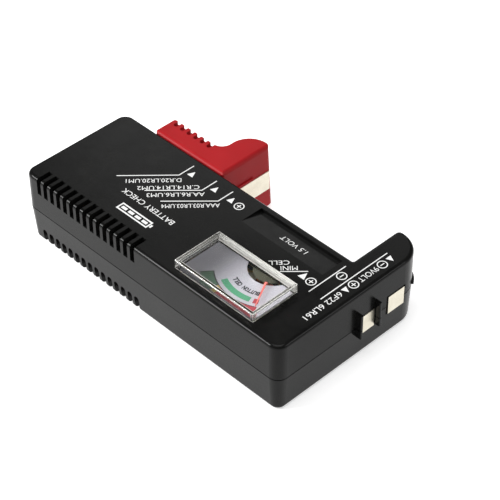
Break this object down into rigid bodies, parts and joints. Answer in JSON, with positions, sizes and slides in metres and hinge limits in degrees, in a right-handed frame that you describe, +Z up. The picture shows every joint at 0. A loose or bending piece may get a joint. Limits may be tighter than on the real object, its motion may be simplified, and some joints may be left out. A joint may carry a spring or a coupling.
{
  "type": "battery tester",
  "caption": "Pocket battery tester with an analogue meter: a sliding jaw and fixed arm grip round cells, and stud contacts on the end take a nine-volt battery.",
  "frame": {"origin": "middle of the object's outline, on the surface it rests on (the case's flat base)", "axes": "+X along the case to the end with the nine-volt contacts, +Y across the case to the side with the slider and arm, +Z up out of the top with the meter"},
  "size_m": [0.1089, 0.0618, 0.0279],
  "materials": {
    "case_black": "satin",
    "slider_red": "satin",
    "clear_cover": "gloss",
    "dial_print": "satin",
    "needle_paint": "satin",
    "nickel": "bright",
    "brass": "satin",
    "steel": "zinc plated",
    "soft_iron": "plated",
    "magnet_grey": "ground",
    "aluminium": "satin",
    "copper_wire": "enamelled",
    "bronze": "satin",
    "tray_plastic": "satin",
    "guide_plastic": "satin",
    "board": "satin",
    "resistor_body": "gloss",
    "red_insulation": "gloss",
    "black_insulation": "gloss"
  },
  "bodies": {
    "case": {"top_shell": "case_black", "bottom_shell": "case_black", "case_screws": "steel", "contact_rail": "brass", "nine_volt_plus_contact": "nickel", "nine_volt_minus_contact": "nickel", "arm_contact": "nickel", "mini_cell_contact": "nickel", "meter_cover": "clear_cover", "meter_base": "tray_plastic", "meter_dial": "dial_print", "meter_yoke": "soft_iron", "meter_magnet": "magnet_grey", "core_supports": "aluminium", "lower_bridge": "brass", "upper_bridge": "brass", "bridge_screws": "steel", "jewel_screws": "brass", "hairsprings": "bronze", "meter_terminals": "brass", "meter_screws": "steel", "circuit_board": "board", "board_screws": "steel", "load_resistor_1v5": "resistor_body", "load_resistor_9v": "resistor_body", "load_resistor_mini": "resistor_body", "meter_series_resistor": "resistor_body", "red_wires": "red_insulation", "black_wires": "black_insulation"},
    "slider": {"slider_jaw": "slider_red", "slider_guide": "guide_plastic", "slider_screws": "steel", "slider_contact": "nickel", "slider_wiper": "bronze"},
    "needle": {"moving_coil": "copper_wire", "coil_staffs": "steel", "meter_needle": "needle_paint"}
  },
  "joints": [
    {"name": "slider_slide", "type": "slide", "parent": "case", "child": "slider", "axis": [1, 0, 0], "range_m": [-0.01, 0.0105]},
    {"name": "needle_swing", "type": "hinge", "parent": "case", "child": "needle", "pos_m": [0.0287, -0.0087, 0.015], "axis": [0, 0, -1], "range_deg": [0, 70], "stiffness_Nm_per_rad": 0.00002}
  ]
}
